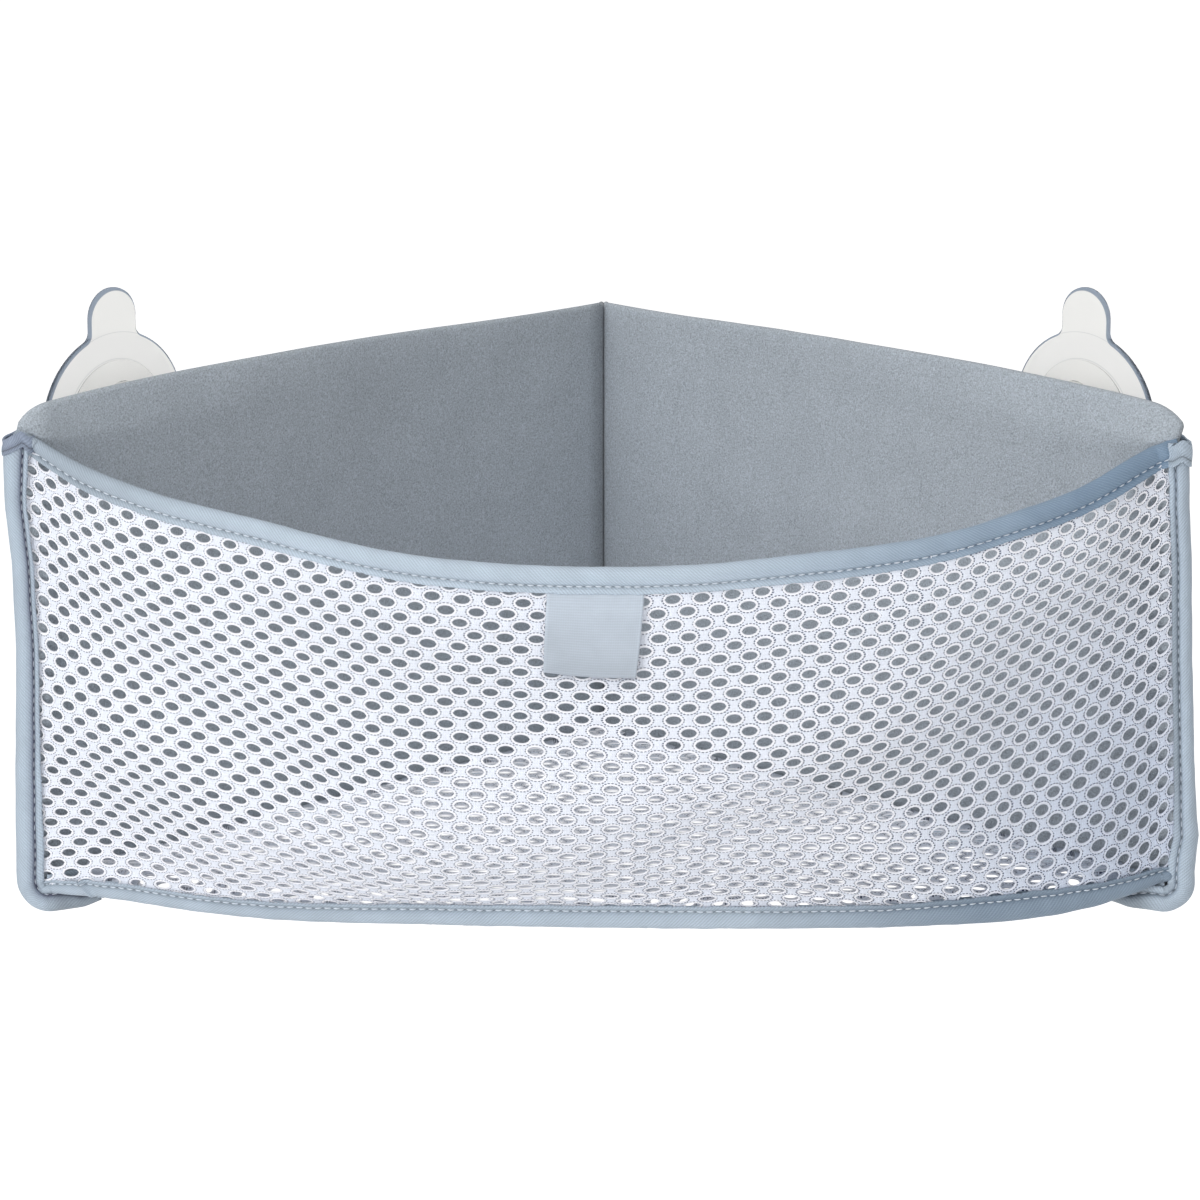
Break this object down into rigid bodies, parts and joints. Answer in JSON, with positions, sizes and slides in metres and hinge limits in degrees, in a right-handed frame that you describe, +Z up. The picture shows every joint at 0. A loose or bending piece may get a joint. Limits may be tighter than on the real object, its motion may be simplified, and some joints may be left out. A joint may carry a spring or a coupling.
{
  "type": "bath toy organizer",
  "caption": "Corner bath toy basket with foam back panels, a scooped knitted net front and taped seams, hung by webbing loops on hooks of round adhesive wall discs.",
  "frame": {"origin": "on the line where the two room walls meet, level with the centres of the wall discs", "axes": "+X to the right seen from the room, +Y into the room corner, +Z up; the walls are the planes y = -x (right) and y = x (left)"},
  "size_m": [0.402, 0.2645, 0.2132],
  "materials": {
    "foam_laminate": "matt grey foam laminate with a fine brushed knit face",
    "knitted_net": "white knitted net with oval holes",
    "binding_tape": "light blue-grey woven tape with a row of stitches",
    "satin_label": "bare satin ribbon with a soft sheen",
    "loop_webbing": "grey flat webbing",
    "clear_adhesive": "clear tacky gel",
    "clear_plate": "frosted pale flexible plastic with blue-grey clear edges",
    "clear_hook": "smooth pale clear plastic"
  },
  "bodies": {
    "wall_mounts": {"adhesive_pad_right": "clear_adhesive", "adhesive_pad_left": "clear_adhesive", "mount_disc_right": "clear_plate", "mount_disc_left": "clear_plate", "hook_right": "clear_hook", "hook_left": "clear_hook"},
    "basket": {"back_panel_right": "foam_laminate", "back_panel_left": "foam_laminate", "corner_seam_binding": "binding_tape", "front_net": "knitted_net", "floor_net": "knitted_net", "top_binding_front": "binding_tape", "side_binding_right": "binding_tape", "side_binding_left": "binding_tape", "bottom_binding_front": "binding_tape", "bottom_binding_back_right": "binding_tape", "bottom_binding_back_left": "binding_tape", "label_tag": "satin_label", "hanging_loop_right": "loop_webbing", "hanging_loop_left": "loop_webbing"},
    "pull_tab_right": {"pull_tab_right": "clear_plate"},
    "pull_tab_left": {"pull_tab_left": "clear_plate"}
  },
  "joints": [
    {"name": "basket_lift", "type": "slide", "parent": "wall_mounts", "child": "basket", "axis": [0, 0, 1], "range_m": [0, 0.019]},
    {"name": "pull_tab_right_bend", "type": "hinge", "parent": "wall_mounts", "child": "pull_tab_right", "pos_m": [0.16772, -0.17239, 0.03185], "axis": [0.7071, -0.7071, 0], "range_deg": [0, 55], "stiffness_Nm_per_rad": 0.004},
    {"name": "pull_tab_left_bend", "type": "hinge", "parent": "wall_mounts", "child": "pull_tab_left", "pos_m": [-0.16772, -0.17239, 0.03185], "axis": [0.7071, 0.7071, 0], "range_deg": [0, 55], "stiffness_Nm_per_rad": 0.004}
  ]
}
